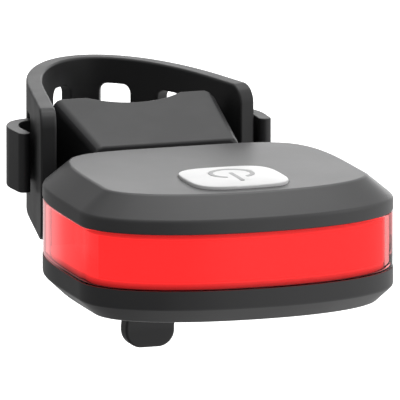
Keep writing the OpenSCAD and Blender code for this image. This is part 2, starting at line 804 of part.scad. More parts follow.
module case_screws() color("silver") in_light() {
    at_posts() translate([0, 0, case_seat_z - screw_head_h]) difference() {
        union() {
            cylinder(d = screw_head_d, h = screw_head_h);
            cylinder(d = screw_d, h = screw_head_h + case_screw_l);
        }
        cross_recess();
    }
}

// Rail with a wide head, screwed to the back of the light
module mount_rail() color([0.18, 0.18, 0.19]) in_light() {
    difference() {
        translate([0, rail_seat_y, rail_bottom_z - panel_rise]) {
            translate([-rail_neck_w / 2, 0, 0]) cube([rail_neck_w, rail_neck_d, rail_h]);
            translate([-rail_head_w / 2, rail_neck_d - rail_head_t, 0])
                cube([rail_head_w, rail_head_t, rail_h]);
        }
        translate([0, rail_seat_y - cut, 0]) at_rail_screws()
            cylinder(d = screw_d + screw_play, h = far);
        translate([0, rail_seat_y + rail_neck_d, 0]) at_rail_screws() mirror([0, 0, 1])
            rail_screw_head(screw_play / 2);
    }
}

// Countersunk head that ends flush at the level of the origin
module rail_screw_head(play) {
    cone_h = (rail_screw_head_d - screw_d) / 2;
    cylinder(d1 = rail_screw_head_d + 2 * play, d2 = screw_d + 2 * play, h = cone_h);
}

module rail_screws() color("silver") in_light() {
    translate([0, rail_seat_y + rail_neck_d, 0]) at_rail_screws() mirror([0, 0, 1]) difference() {
        union() {
            rail_screw_head(0);
            cylinder(d = screw_d, h = rail_neck_d + rail_screw_bite - cut);
        }
        cross_recess();
    }
}

// Wedge block that the bracket is cut from
module block() {
    plan = [[-block_front_w / 2, block_front_y], [block_front_w / 2, block_front_y],
            [block_back_w / 2, block_back_y], [-block_back_w / 2, block_back_y]];
    profile = [[block_front_y, -block_drop], [block_back_y, -block_drop],
               [block_back_y, block_back_top], [block_front_y, block_front_top]];
    intersection() {
        translate([0, 0, -far]) linear_extrude(2 * far) polygon(plan);
        side_profile(profile, 2 * far);
    }
}

// Path of the right hook in plan: from the shoulder through the slot, then forwards
function hook_path() =
    let (neck_y = strap_point(hook_arc, 0)[1] + slot_l / 2 - hook_play - hook_t / 2,
         root_x = (cradle_w + block_back_w) / 4)
    round_path([[root_x, block_back_y - hook_root], [root_x + hook_lean, neck_y],
        [hook_reach - hook_bend_w, neck_y], [hook_reach, neck_y - hook_bend_l],
        [hook_reach - hook_tip_in, neck_y - hook_finger]], corner_rounds);

module hook() {
    path = hook_path();
    last = len(path) - 1;
    near = [for (k = [0 : last]) path[k] + path_normal(path, k) * hook_t / 2];
    away = [for (k = [last : -1 : 0]) path[k] - path_normal(path, k) * hook_t / 2];
    translate([0, 0, hook_rise - hook_h / 2]) linear_extrude(hook_h) {
        polygon(concat(near, away));
        translate(path[last]) circle(d = hook_t);
    }
}

// Space of the rubber pad in the hollow, grown by a play
module cradle_pad_space(play) {
    translate([0, cradle_y, -cradle_pad_h / 2 - play]) intersection() {
        difference() {
            cylinder(r = cradle_r + cradle_pad_t + play, h = cradle_pad_h + 2 * play);
            translate([0, 0, -cut]) cylinder(r = cradle_r, h = far);
        }
        translate([-cradle_pad_w / 2 - play, -2 * cradle_r, 0])
            cube([cradle_pad_w + 2 * play, 2 * cradle_r, far]);
    }
}

// Block with the rail channel, the lever bay, the pin hole and the seatpost hollow, and its hooks
module bracket() color([0.3, 0.3, 0.31]) {
    bay_w = lever_w + 2 * lever_play;
    bay_top = pivot_rise + pivot_eye_r + lever_play;
    channel_top = rail_top_z + rail_play;
    difference() {
        block();
        translate([0, cradle_y, -far]) cylinder(r = cradle_r, h = 2 * far);
        cradle_pad_space(lay_play);
        translate([-rail_neck_w / 2 - rail_play, block_front_y - cut, -far])
            cube([rail_neck_w + 2 * rail_play, lip_t + 2 * cut, far + channel_top]);
        translate([-rail_head_w / 2 - rail_play, block_front_y + lip_t, -far])
            cube([rail_head_w + 2 * rail_play, rail_head_t + 2 * rail_play, far + channel_top]);
        translate([-bay_w / 2, rail_back_y, -far])
            cube([bay_w, lever_bay_back - rail_back_y, far + bay_top]);
        translate([-pin_l / 2, pivot_y, pivot_rise]) rotate([0, 90, 0])
            cylinder(d = pin_d, h = far);
    }
    for (side = [0, 1]) mirror([side, 0, 0]) hook();
}

module cradle_pad() color([0.1, 0.1, 0.1]) {
    cradle_pad_space(0);
}

// Lever that hangs from its pin, with a catch under the rail and a thumb tab below the light
module release_lever() color([0.17, 0.17, 0.18]) {
    half = lever_t / 2;
    knee_z = catch_top_z - catch_h - knee_drop;
    tab_y = pivot_y + lever_set;
    tab_z = tab_h - lever_drop;
    catch_tip_y = rail_back_y - catch_bite;
    front = [[pivot_y - half, pivot_rise], [pivot_y - half, catch_top_z],
             [catch_tip_y, catch_top_z], [catch_tip_y, catch_top_z - catch_h / 2],
             [pivot_y - half, catch_top_z - catch_h], [pivot_y - half, knee_z],
             [tab_y - half, tab_z], [tab_y - half, -lever_drop]];
    back = [[tab_y + half, -lever_drop], [tab_y + half, tab_z], [pivot_y + half, knee_z],
            [pivot_y + half, pivot_rise]];
    difference() {
        union() {
            side_profile(concat(front, back), lever_w);
            cross_rod(pivot_y, pivot_rise, pivot_eye_r, lever_w);
        }
        cross_rod(pivot_y, pivot_rise, pin_d / 2 + run_play, 2 * lever_w);
        for (side = [0, 1]) mirror([side, 0, 0])
            translate([lever_w / 2 - tab_corner_r, tab_y, tab_corner_r - lever_drop])
                rotate([90, 0, 0]) difference() {
                    translate([0, -2 * tab_corner_r, -lever_t])
                        cube([2 * tab_corner_r, 2 * tab_corner_r, 2 * lever_t]);
                    cylinder(r = tab_corner_r, h = 3 * lever_t, center = true);
                }
    }
}

module lever_pin() color("silver") {
    cross_rod(pivot_y, pivot_rise, pin_d / 2, pin_l);
}

// Coil of the spring between the lever and the back of its bay, as points along its wire
coil_rings = coil_steps * spring_turns;
coil_rise = spring_l - spring_wire - 2 * lay_play;
function coil_point(k, r, along) =
    let (turn = k / coil_steps * 360)
    [r * cos(turn), lever_front_y + lever_t + lay_play + spring_wire / 2 + coil_rise * k / coil_rings
     + along, pivot_rise - spring_drop + r * sin(turn)];
coil_r = (spring_d - spring_wire) / 2;
half_coil = coil_steps / 2;
coil_gap = min([for (k = [0 : coil_rings - half_coil], m = [k + half_coil : coil_rings])
    norm(coil_point(k, coil_r, 0) - coil_point(m, coil_r, 0))]) - spring_wire;
echo(coil_gap = coil_gap);

module lever_spring() color("silver") {
    points = [for (k = [0 : coil_rings]) for (m = [0 : wire_sides - 1])
        let (a = m * 360 / wire_sides)
        coil_point(k, coil_r + spring_wire / 2 * cos(a), spring_wire / 2 * sin(a))];
    walls = [for (k = [0 : coil_rings - 1]) for (m = [0 : wire_sides - 1])
        let (a = k * wire_sides + m, b = k * wire_sides + (m + 1) % wire_sides)
        each [[a, b, b + wire_sides], [a, b + wire_sides, a + wire_sides]]];
    ends = [[for (m = [wire_sides - 1 : -1 : 0]) m],
            [for (m = [0 : wire_sides - 1]) coil_rings * wire_sides + m]];
    polyhedron(points, concat(walls, ends));
}

// Places its children on the strap's middle line, x along the strap
module on_strap(arc) {
    p = strap_point(arc, 0);
    translate([p[0], p[1], 0]) rotate([0, 0, strap_turn(arc)]) children();
}

// Cuts one rounded corner at an end of the strap
module tail_corner(arc, up) {
    r = tail_corner_r;
    on_strap(arc) scale([sign(arc), 1, up])
        translate([-r, 0, strap_h / 2 - r]) rotate([90, 0, 0]) difference() {
            translate([0, 0, -strap_t]) cube([2 * r, 2 * r, 2 * strap_t]);
            cylinder(r = r, h = 3 * strap_t, center = true);
        }
}

// Silicone band bent round the seatpost, with its slots
module strap() color([0.16, 0.16, 0.17]) {
    left = -hook_arc - tail_left;
    right = hook_arc + tail_right;
    arcs = [for (k = [0 : strap_steps]) left + (right - left) * k / strap_steps];
    outer = [for (arc = arcs) strap_point(arc, strap_t / 2)];
    inner = [for (k = [strap_steps : -1 : 0]) strap_point(arcs[k], -strap_t / 2)];
    difference() {
        translate([0, 0, -strap_h / 2]) linear_extrude(strap_h) polygon(concat(outer, inner));
        for (k = [0 : slot_count - 1])
            on_strap(k * slot_pitch - hook_arc) rotate([90, 0, 0])
                linear_extrude(3 * strap_t, center = true) rounded(slot_l, slot_h, slot_r);
        for (arc = [left, right], up = [-1, 1])
            tail_corner(arc, up);
    }
}

top_cover();
base_housing();
lens();
diffuser();
light_tray();
led_strip();
led_chips();
main_board();
tact_switch();
switch_plunger();
power_button();
power_sign();
button_seal();
case_seal();
battery_cell();
battery_pad();
charging_board();
usb_socket();
socket_cover();
case_screws();
mount_rail();
rail_screws();
bracket();
cradle_pad();
release_lever();
lever_pin();
lever_spring();
strap();
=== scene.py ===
"""Bicycle rear light on a strap bracket: shells, materials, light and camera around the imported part."""

import bisect
import json
import math

import bmesh
import bpy
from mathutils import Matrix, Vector


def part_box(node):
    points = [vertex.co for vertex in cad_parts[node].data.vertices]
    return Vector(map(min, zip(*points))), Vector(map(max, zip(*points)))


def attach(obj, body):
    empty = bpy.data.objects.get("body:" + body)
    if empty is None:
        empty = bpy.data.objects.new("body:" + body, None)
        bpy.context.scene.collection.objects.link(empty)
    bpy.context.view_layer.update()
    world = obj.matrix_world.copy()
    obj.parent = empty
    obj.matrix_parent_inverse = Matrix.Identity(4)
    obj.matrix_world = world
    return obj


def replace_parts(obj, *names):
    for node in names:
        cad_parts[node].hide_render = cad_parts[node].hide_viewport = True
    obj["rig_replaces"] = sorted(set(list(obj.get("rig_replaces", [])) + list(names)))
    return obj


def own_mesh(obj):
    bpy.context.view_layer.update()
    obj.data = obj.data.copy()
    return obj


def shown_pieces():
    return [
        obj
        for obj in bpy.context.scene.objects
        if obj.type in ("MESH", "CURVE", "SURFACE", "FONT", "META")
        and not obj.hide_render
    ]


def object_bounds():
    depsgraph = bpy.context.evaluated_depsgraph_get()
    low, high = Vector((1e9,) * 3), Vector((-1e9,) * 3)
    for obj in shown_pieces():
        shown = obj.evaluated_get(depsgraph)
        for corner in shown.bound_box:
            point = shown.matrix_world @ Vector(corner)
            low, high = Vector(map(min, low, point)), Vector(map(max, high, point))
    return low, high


MM = 0.001
WHITE = (1.0, 1.0, 1.0, 1.0)

# View of the photograph: from the left of the light's front, a little above and far away
VIEW_TURN = -18.317
VIEW_LIFT = 11.203
VIEW_TARGET = Vector((-6.169, -68.90, 1.964)) * MM
VIEW_WIDTH = 73.193 * MM
SENSOR = 36.0
LENS = 1608.0
CLIP_NEAR, CLIP_FAR = 0.05, 20.0

# Strap in millimetres, as in the part's source: half an ellipse up to the hooks' slots, then straight tails
STRAP_A, STRAP_B, STRAP_APEX = 22.0, 56.5, 21.8
STRAP_T, STRAP_H = 3.0, 24.8
SLOT_COUNT, SLOT_PITCH, SLOT_L, SLOT_H, SLOT_R = 6, 13.8, 6.8, 14.8, 1.7
TAIL_LEFT, TAIL_RIGHT, TAIL_R = 23.5, 11.1, 3.4
STRAP_EDGE = 0.45

# Mesh of the strap: step along the band, steps of its table of arcs, and distances that count as none
STRAP_STEP, ARC_STEPS = 0.8, 600
STRAP_MERGE, STRAP_ON_CUT = 0.002, 0.0001

# Power sign in millimetres: width of its strokes, length of its bar, thickness and rise above the inlay
SIGN_W, SIGN_BAR, SIGN_T, SIGN_RISE = 0.75, 7.2, 0.12, -0.02

# Ring of the power sign: its gap in degrees, and the steps of its arc
SIGN_GAP, SIGN_STEPS = 60.0, 48

# Shells: faces that turn less than FLAT are joined, edges that turn more than HARD rounded, in degrees
FLAT, HARD = 0.3, 28.0

# Distance below which two points are one, and steps of a rounded edge and of a plate's round corner
MERGE = 0.001 * MM
BEVEL_STEPS, CORNER_STEPS = 3, 8

# Shading: angle in degrees from which an edge stays sharp, and how far the large faces lead
SHELL_SHARP, PLATE_SHARP = 32.0, 50.0
FACE_WEIGHT = 80

# Radius of the rounded edges, first where it holds on a stretch of the piece, then where it is even all over
COVER_EDGE, HOLE_EDGE, HOUSING_EDGE, BUTTON_EDGE = 0.45 * MM, 0.1 * MM, 0.35 * MM, 0.1 * MM
SHOULDER_EDGE, HOOK_EDGE, BLOCK_EDGE, LEVER_EDGE = 1.8 * MM, 0.2 * MM, 0.45 * MM, 0.5 * MM
EVEN_EDGES = {
    "lens": 0.2 * MM,
    "diffuser": 0.2 * MM,
    "light_tray": 0.15 * MM,
    "mount_rail": 0.15 * MM,
    "socket_cover": 0.2 * MM,
    "cradle_pad": 0.25 * MM,
    "case_seal": 0.1 * MM,
    "button_seal": 0.1 * MM,
    "battery_pad": 0.2 * MM,
}

# Where those stretches begin or end on the cover, the bracket and the lever
COVER_SHARP_RIM = 0.9 * MM
CHANNEL_HALF, CHANNEL_WALL, BAY_TOP = 8.6 * MM, 1.5 * MM, 4.9 * MM
SHOULDER_FROM, SHOULDER_BACK = 12 * MM, -14 * MM
HOOKS_FROM = 16.2 * MM
TAB_TOP = -17 * MM

# Top of the button, as a share of its size in CAD
BUTTON_SWELL = 1.03

# Moulded surfaces: size of the clouds, tones in them, detail of the noise and strength of the grain
CLOUD_SIZE, CLOUD_TONES = 9 * MM, (0.94, 1.06)
NOISE_DETAIL, GRAIN_STRENGTH = 3.0, 0.5

# Lens: its refraction is low, so that its round corner shows no dark band
LENS_TINT, LENS_IOR = (1.0, 0.30, 0.30, 1.0), 1.08
LENS_COAT, LENS_COAT_ROUGHNESS = 0.2, 0.08
LENS_CLOUD, LENS_ROUGHNESS = 5 * MM, (0.05, 0.12)
LENS_RIPPLE, LENS_RIPPLE_DEPTH = 3 * MM, 0.02 * MM

# Glow behind the lens: the bar's red and strength, and how it dims at the lens's upper and lower edges as
# painted shade of the bands above and below
BAR_RED, BAR_GLOW = (1.0, 0.105, 0.105), 0.85
GLOW_FADE, GLOW_EDGE = 1.5 * MM, 0.3

# Towards the outer back ends, by |x| + GLOW_SLANT * y, the tray's painted glow turns pale and the lens gets a
# painted pale pink sheen
GLOW_SLANT = 0.33
TRAY_GLOW_RED, TRAY_GLOW_PALE = 4.5 * MM, 13.0 * MM
# Pale colour of the tray's painted glow at its outer back ends
TRAY_PALE_GLOW = (1.0, 0.38, 0.38, 1.0)
LENS_SHEEN_FROM, LENS_SHEEN_FULL, LENS_SHEEN_GLOW = 9.0 * MM, 13.2 * MM, 0.23
SHEEN_PINK = (1.0, 0.5, 0.52, 1.0)

# Floor in metres: drop below the part, and half its width
FLOOR_DROP, FLOOR_HALF = 60 * MM, 6.0

# Softboxes: place, width and height in metres, and radiance
SOFTBOXES = {
    "top_light": ((0.15, 0.1, 0.75), 0.6, 0.6, 1.9),
    "side_light": ((0.7, -0.5, 0.35), 0.4, 0.5, 0.6),
    "back_light": ((0.44, 0.80, 0.12), 0.7, 0.25, 1.75),
}

# Surround, in soft steps over the direction of a ray: start and end of the step, and strength there
DIM_LEFT = (-0.25, 0.30, 0.27, 1.0)
BRIGHT_OVERHEAD = (0.45, 0.85, 0.0, 1.0)
DIM_BELOW = (-0.06, 0.12, 0.95, 1.0)

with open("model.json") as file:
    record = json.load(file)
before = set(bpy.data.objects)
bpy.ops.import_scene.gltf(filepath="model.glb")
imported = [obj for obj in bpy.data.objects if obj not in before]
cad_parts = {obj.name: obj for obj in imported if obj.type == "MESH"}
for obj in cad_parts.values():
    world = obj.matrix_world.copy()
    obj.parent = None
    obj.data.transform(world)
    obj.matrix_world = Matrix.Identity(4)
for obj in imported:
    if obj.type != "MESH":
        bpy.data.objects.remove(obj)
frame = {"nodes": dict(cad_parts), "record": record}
cad_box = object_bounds()
nodes = frame["nodes"]
slots = {row["node"]: row["material_slot"] for row in frame["record"]["subparts"]}
bodies = {node: body for body, members in frame["record"]["behaviour"]["bodies"].items()
          for node in members}


# Materials

def shader_of(material):
    return material.node_tree.nodes["Principled BSDF"]


def new_material(name):
    """Material with its node tree and its shader."""
    material = bpy.data.materials.new(name)
    material.use_nodes = True
    return material, material.node_tree, shader_of(material)


def coordinates(tree, kind="Object"):
    """Outputs X, Y and Z of the part's own coordinates, or of another kind."""
    place = tree.nodes.new("ShaderNodeTexCoord")
    split = tree.nodes.new("ShaderNodeSeparateXYZ")
    tree.links.new(place.outputs[kind], split.inputs["Vector"])
    return split.outputs


def noise(tree, size):
    """Noise whose lumps are about size metres across, in the part's own coordinates."""
    place = tree.nodes.new("ShaderNodeTexCoord")
    texture = tree.nodes.new("ShaderNodeTexNoise")
    texture.inputs["Scale"].default_value = 1.0 / size
    texture.inputs["Detail"].default_value = NOISE_DETAIL
    tree.links.new(place.outputs["Object"], texture.inputs["Vector"])
    return texture.outputs["Fac"]


def ramp(tree, source, low, high, start=0.35, end=0.65):
    """Spreads a number over two numbers or two colours."""
    node = tree.nodes.new("ShaderNodeValToRGB")
    for element, place, value in zip(node.color_ramp.elements, (start, end), (low, high)):
        element.position = place
        element.color = value if hasattr(value, "__len__") else (value, value, value, 1.0)
    tree.links.new(source, node.inputs["Fac"])
    return node.outputs["Color"]


def spread(tree, source, start, end, low, high):
    """Soft step of a number from low to high."""
    node = tree.nodes.new("ShaderNodeMapRange")
    node.interpolation_type = "SMOOTHSTEP"
    for name, value in (("From Min", start), ("From Max", end), ("To Min", low), ("To Max", high)):
        node.inputs[name].default_value = value
    tree.links.new(source, node.inputs["Value"])
    return node.outputs["Result"]


def math_node(tree, operation, *values):
    """Result of one operation; each value is a node's output or a float."""
    node = tree.nodes.new("ShaderNodeMath")
    node.operation = operation
    for socket, value in zip(node.inputs, values):
        if isinstance(value, float):
            socket.default_value = value
        else:
            tree.links.new(value, socket)
    return node.outputs["Value"]


def grain(tree, shader, source, depth):
    """Bumps on a surface, depth metres high."""
    bump = tree.nodes.new("ShaderNodeBump")
    bump.inputs["Strength"].default_value = GRAIN_STRENGTH
    bump.inputs["Distance"].default_value = depth
    tree.links.new(source, bump.inputs["Height"])
    tree.links.new(bump.outputs["Normal"], shader.inputs["Normal"])


def moulded(name, colour, roughness, change=0.03, grain_size=0.25 * MM, depth=0.012 * MM):
    """Moulded plastic or rubber: a fine eroded grain, with cloudy changes of tone and gloss."""
    material, tree, shader = new_material(name)
    clouds = noise(tree, CLOUD_SIZE)
    tones = [[c * share for c in colour] + [1.0] for share in CLOUD_TONES]
    tree.links.new(ramp(tree, clouds, *tones), shader.inputs["Base Color"])
    tree.links.new(ramp(tree, clouds, roughness - change, roughness + change),
                   shader.inputs["Roughness"])
    grain(tree, shader, noise(tree, grain_size), depth)
    return material


def metal(name, colour, roughness):
    """Bare metal with a faint grain."""
    material = moulded(name, colour, roughness, change=0.08, grain_size=0.4 * MM, depth=0.004 * MM)
    shader_of(material).inputs["Metallic"].default_value = 1.0
    return material


def slant_to_ends(tree):
    """Number that grows towards the outer back ends of the lens and the tray."""
    place = coordinates(tree)
    out = math_node(tree, "ABSOLUTE", place["X"])
    return math_node(tree, "MULTIPLY_ADD", place["Y"], GLOW_SLANT, out)


def clear_red():
    """Clear red moulding of the lens under a thin gloss, with slight ripples, and a painted pale pink sheen
    that glows towards its outer back ends.
    """
    material, tree, shader = new_material("lens_red")
    shader.inputs["Base Color"].default_value = LENS_TINT
    shader.inputs["Transmission Weight"].default_value = 1.0
    shader.inputs["IOR"].default_value = LENS_IOR
    shader.inputs["Coat Weight"].default_value = LENS_COAT
    shader.inputs["Coat Roughness"].default_value = LENS_COAT_ROUGHNESS
    tree.links.new(ramp(tree, noise(tree, LENS_CLOUD), *LENS_ROUGHNESS), shader.inputs["Roughness"])
    grain(tree, shader, noise(tree, LENS_RIPPLE), LENS_RIPPLE_DEPTH)
    # Painted sheen: a pink glow on the lens, stronger towards its outer back ends
    shader.inputs["Emission Color"].default_value = SHEEN_PINK
    tree.links.new(spread(tree, slant_to_ends(tree), LENS_SHEEN_FROM, LENS_SHEEN_FULL, 0.0, LENS_SHEEN_GLOW),
                   shader.inputs["Emission Strength"])
    return material


def glowing(name, colour, glow, strength, roughness=0.4):
    """Milky plastic that is lit from inside."""
    material = moulded(name, colour, roughness)
    shader = shader_of(material)
    shader.inputs["Emission Color"].default_value = (*glow, 1.0)
    shader.inputs["Emission Strength"].default_value = strength
    return material


def shade_lens_edges(material):
    """Dims a material's glow towards the upper and lower edges of the lens: painted shade along the bands
    above and below it.
    """
    tree = material.node_tree
    glow = shader_of(material).inputs["Emission Strength"]
    full = glow.default_value
    height = coordinates(tree)["Z"]
    low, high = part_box("lens")
    upper = spread(tree, height, high.z - GLOW_FADE, high.z, full, GLOW_EDGE * full)
    lower = spread(tree, height, low.z, low.z + GLOW_FADE, GLOW_EDGE, 1.0)
    tree.links.new(math_node(tree, "MULTIPLY", upper, lower), glow)
    return material


def glowing_tray():
    """White tray with painted light from the bar: a deep red painted glow in front that turns pale towards
    its outer back ends, over a dark red base colour that paints the bar's light and shade.
    """
    # Dark red base colour on the white tray: painted red light and painted shade
    material = glowing("tray_white", (0.5, 0.15, 0.15), WHITE[:3], BAR_GLOW)
    tree = material.node_tree
    # Painted glow: deep red in front, pale towards the outer back ends
    share = spread(tree, slant_to_ends(tree), TRAY_GLOW_RED, TRAY_GLOW_PALE, 0.0, 1.0)
    tones = ramp(tree, share, BAR_RED + (1.0,), TRAY_PALE_GLOW, 0.0, 1.0)
    tree.links.new(tones, shader_of(material).inputs["Emission Color"])
    return shade_lens_edges(material)


MATERIALS = {
    "cover_grey": moulded("cover_grey", (0.042, 0.042, 0.043), 0.39, change=0.01),
    "case_black": moulded("case_black", (0.026, 0.026, 0.027), 0.42),
    "bracket_black": moulded("bracket_black", (0.017, 0.017, 0.018), 0.46),
    "lens_red": clear_red(),
    # The bar's glow dims at the lens's upper and lower edges: painted shade
    "light_bar": shade_lens_edges(glowing("light_bar", (0.9, 0.05, 0.05), BAR_RED, BAR_GLOW)),
    "tray_white": glowing_tray(),
    "board_green": moulded("board_green", (0.03, 0.16, 0.07), 0.35),
    "led_phosphor": moulded("led_phosphor", (0.95, 0.72, 0.25), 0.3),
    "switch_black": moulded("switch_black", (0.02, 0.02, 0.02), 0.45),
    "button_white": moulded("button_white", (0.74, 0.74, 0.74), 0.38),
    "sign_grey": moulded("sign_grey", (0.40, 0.40, 0.405), 0.5),
    "seal_rubber": moulded("seal_rubber", (0.018, 0.018, 0.018), 0.6, grain_size=0.4 * MM),
    "strap_rubber": moulded("strap_rubber", (0.012, 0.012, 0.0125), 0.48, grain_size=0.35 * MM),
    "cell_foil": metal("cell_foil", (0.7, 0.7, 0.72), 0.35),
    "foam": moulded("foam", (0.04, 0.04, 0.043), 0.85, grain_size=0.6 * MM, depth=0.05 * MM),
    "steel": metal("steel", (0.56, 0.56, 0.55), 0.32),
}


# Making of the pieces

def placed(name, data):
    """New object in the scene."""
    obj = bpy.data.objects.new(name, data)
    bpy.context.scene.collection.objects.link(obj)
    return obj


def from_shell(name, shell):
    """New object from a bmesh, which is freed."""
    mesh = bpy.data.meshes.new(name)
    shell.to_mesh(mesh)
    shell.free()
    return placed(name, mesh)


def finish_normals(piece, sharp):
    """Smooth shading that keeps the hard edges and lets the large faces lead."""
    piece.data.polygons.foreach_set("use_smooth", [True] * len(piece.data.polygons))
    piece.data.set_sharp_from_angle(angle=math.radians(sharp))
    weighted = piece.modifiers.new("even_faces", "WEIGHTED_NORMAL")
    weighted.keep_sharp = True
    weighted.weight = FACE_WEIGHT


def take_over(piece, node, finish=None):
    """Puts a piece in place of a node: its body, its slot, and the slot's material or a finish of its own."""
    piece.data.materials.clear()
    piece.data.materials.append(MATERIALS[finish or slots[node]])
    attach(piece, bodies[node])
    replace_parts(piece, node)
    return piece


def swell(shell, node, above, share):
    """Widens what lies above a height, about the middle of the node."""
    low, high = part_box(node)
    for vert in shell.verts:
        if vert.co.z > above:
            for k in (0, 1):
                middle = (low[k] + high[k]) / 2
                vert.co[k] = middle + (vert.co[k] - middle) * share


def dressed(node, *rounds, finish=None, wider=None):
    """Copy of a node with joined flat faces and with its hard edges rounded.

    Each round is an edge radius, with a test of the edge's middle that says where it holds.
    finish names a material other than the slot's; wider is a height, and a share to widen all above it."""
    shell = bmesh.new()
    shell.from_mesh(nodes[node].data)
    bmesh.ops.remove_doubles(shell, verts=shell.verts, dist=MERGE)
    bmesh.ops.dissolve_limit(shell, angle_limit=math.radians(FLAT), verts=shell.verts,
                             edges=shell.edges)
    for edge, where in rounds:
        picked = [e for e in shell.edges if len(e.link_faces) == 2
                  and e.calc_face_angle() > math.radians(HARD)
                  and where((e.verts[0].co + e.verts[1].co) / 2)]
        bmesh.ops.bevel(shell, geom=picked, offset=edge, offset_type="OFFSET", segments=BEVEL_STEPS,
                        profile=0.5, affect="EDGES", clamp_overlap=False)
    if wider:
        swell(shell, node, *wider)
    piece = from_shell(node + "_shell", shell)
    finish_normals(piece, SHELL_SHARP)
    return take_over(piece, node, finish)


def rounded_rectangle(low, high, r):
    """Points round a rectangle with round corners, counter-clockwise."""
    corners = ((high[0] - r, high[1] - r, 0), (low[0] + r, high[1] - r, 90),
               (low[0] + r, low[1] + r, 180), (high[0] - r, low[1] + r, 270))
    return [(x + r * math.cos(math.radians(a + 90 * k / CORNER_STEPS)),
             y + r * math.sin(math.radians(a + 90 * k / CORNER_STEPS)))
            for x, y, a in corners for k in range(CORNER_STEPS + 1)]


def plate(name, loops, thickness, edge):
    """Mesh of a flat plate with rounded edges, from an outline and its holes."""
    curve = bpy.data.curves.new(name, "CURVE")
    curve.dimensions = "2D"
    curve.fill_mode = "BOTH"
    curve.extrude = thickness / 2 - edge
    curve.bevel_depth = edge
    curve.bevel_resolution = BEVEL_STEPS
    for loop in loops:
        spline = curve.splines.new("POLY")
        spline.points.add(len(loop) - 1)
        for point, (x, y) in zip(spline.points, loop):
            point.co = (x, y, 0, 1)
        spline.use_cyclic_u = True
    flat = placed(name + "_flat", curve)
    bpy.context.view_layer.update()
    mesh = bpy.data.meshes.new_from_object(flat.evaluated_get(bpy.context.evaluated_depsgraph_get()))
    bpy.data.objects.remove(flat)
    return mesh


class StrapLine:
    """Middle line of the strap by length from its apex, in millimetres."""

    def __init__(self):
        self.a, self.b = STRAP_A - STRAP_T / 2, STRAP_B - STRAP_T / 2
        self.y = STRAP_APEX - STRAP_B
        self.hook = (SLOT_COUNT - 1) / 2 * SLOT_PITCH
        self.angles = [math.pi / 2 * k / ARC_STEPS for k in range(ARC_STEPS + 1)]
        self.lengths = [0.0]
        for s, t in zip(self.angles, self.angles[1:]):
            self.lengths.append(self.lengths[-1] + math.dist(self.on_loop(s), self.on_loop(t)))

    def on_loop(self, t):
        """Point of the ellipse at an angle from the apex."""
        return self.a * math.sin(t), self.y + self.b * math.cos(t)

    def angle(self, arc):
        """Angle of the ellipse at a length from the apex, at most that of the hooks."""
        arc = min(abs(arc), self.hook)
        k = max(bisect.bisect_left(self.lengths, arc), 1)
        share = (arc - self.lengths[k - 1]) / (self.lengths[k] - self.lengths[k - 1])
        return self.angles[k - 1] + share * (self.angles[k] - self.angles[k - 1])

    def place(self, arc, out):
        """Point at a length along the band and a distance out from its middle line."""
        t = math.copysign(self.angle(arc), arc)
        turn = math.atan2(-self.b * math.sin(t), self.a * math.cos(t))
        tail = math.copysign(max(abs(arc) - self.hook, 0.0), arc)
        x, y = self.on_loop(t)
        return (x + tail * math.cos(turn) - out * math.sin(turn),
                y + tail * math.sin(turn) + out * math.cos(turn))


def strap_band():
    """The strap as a flat band with rounded edges and slots, then bent round the seatpost."""
    line = StrapLine()
    left, right = -line.hook - TAIL_LEFT, line.hook + TAIL_RIGHT
    e = STRAP_EDGE
    loops = [rounded_rectangle((left + e, -STRAP_H / 2 + e), (right - e, STRAP_H / 2 - e), TAIL_R - e)]
    for k in range(SLOT_COUNT):
        x = k * SLOT_PITCH - line.hook
        loops.append(rounded_rectangle((x - SLOT_L / 2 - e, -SLOT_H / 2 - e),
                                       (x + SLOT_L / 2 + e, SLOT_H / 2 + e), SLOT_R + e))
    band = bmesh.new()
    band.from_mesh(plate("strap", loops, STRAP_T, e))
    bmesh.ops.remove_doubles(band, verts=band.verts, dist=STRAP_MERGE)
    for k in range(1, int((right - left) / STRAP_STEP)):
        bmesh.ops.bisect_plane(band, geom=band.verts[:] + band.edges[:] + band.faces[:],
                               plane_co=(left + k * STRAP_STEP, 0, 0), plane_no=(1, 0, 0),
                               dist=STRAP_ON_CUT)
    for vert in band.verts:
        x, y = line.place(vert.co.x, vert.co.z)
        vert.co = Vector((x, y, vert.co.y)) * MM
    bmesh.ops.recalc_face_normals(band, faces=band.faces)
    piece = from_shell("strap_band", band)
    finish_normals(piece, PLATE_SHARP)
    return take_over(piece, "strap")


def power_mark():
    """Power sign as a print: an open ring and a bar, over the inlay that it hides."""
    low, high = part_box("power_sign")
    r = (high.x - low.x) / 2 / MM
    middle = Vector(((low.x + high.x) / 2, high.y - r * MM, high.z + SIGN_RISE * MM))
    inner, gap = r - SIGN_W, math.radians(SIGN_GAP / 2)
    turns = [-math.pi / 2 + gap + (2 * math.pi - 2 * gap) * k / SIGN_STEPS
             for k in range(SIGN_STEPS + 1)]
    ring = [(r * math.cos(t), r * math.sin(t)) for t in turns]
    ring += [(inner * math.cos(t), inner * math.sin(t)) for t in reversed(turns)]
    reach = (low.y - middle.y) / MM
    bar = rounded_rectangle((-SIGN_W / 2, reach), (SIGN_W / 2, reach + SIGN_BAR), SIGN_W / 4)
    mesh = plate("power_mark", [ring, bar], SIGN_T, SIGN_T / 4)
    for vert in mesh.vertices:
        vert.co = vert.co * MM + middle
    piece = placed("power_mark", mesh)
    finish_normals(piece, PLATE_SHARP)
    return take_over(piece, "power_sign")


# Stretches of the pieces that have an edge radius of their own

def level(node, share):
    """Height at a share of a node's box."""
    low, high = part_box(node)
    return low.z + share * (high.z - low.z)


cover_low = level("top_cover", 0.0)
cover_high = level("top_cover", 0.7)
lens_low = level("lens", -0.1)
channel_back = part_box("cradle_pad")[0].y - CHANNEL_WALL
button_low, button_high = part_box("power_button")


def everywhere(point):
    return True


